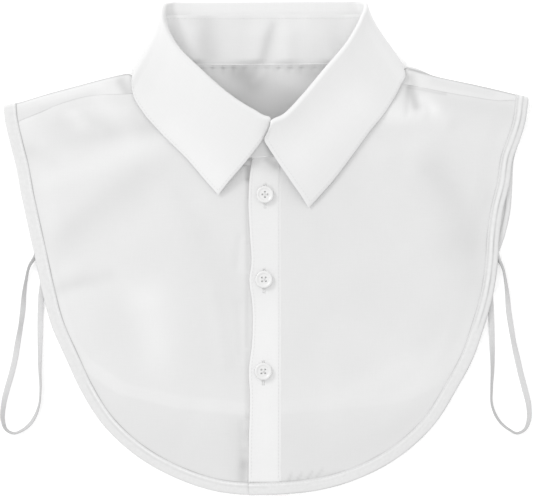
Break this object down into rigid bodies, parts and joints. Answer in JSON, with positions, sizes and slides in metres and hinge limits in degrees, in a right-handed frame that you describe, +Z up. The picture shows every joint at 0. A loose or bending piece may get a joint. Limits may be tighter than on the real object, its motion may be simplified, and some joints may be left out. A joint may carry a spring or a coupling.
{
  "type": "detachable shirt collar",
  "caption": "Buttoned shirt collar with a short front and back in white cotton, laid flat, with elastic side loops.",
  "frame": {"origin": "on the surface that the collar lies on, at the middle of its width and height in plan", "axes": "+X to the right seen from above, which is the wearer's left; +Y towards the collar; +Z up off the table"},
  "size_m": [0.3562, 0.3307, 0.0227],
  "materials": {
    "cotton": "soft plain-weave cotton, matt, faintly creased",
    "crisp_cotton": "plain-weave cotton over interlining, smooth and crisp",
    "binding": "bias-cut cotton edge binding with a row of stitching",
    "button": "satin white resin, four holes, raised rim",
    "elastic": "narrow flat white elastic, fine ribs along it"
  },
  "bodies": {
    "root": {"back_panel": "cotton", "right_front": "cotton", "left_front": "cotton", "front_band": "crisp_cotton", "collar_stand": "crisp_cotton", "collar_fall": "crisp_cotton", "right_binding": "binding", "left_binding": "binding", "back_binding": "binding", "button_1": "button", "button_2": "button", "button_3": "button", "right_elastic_loop": "elastic", "left_elastic_loop": "elastic"}
  },
  "joints": []
}
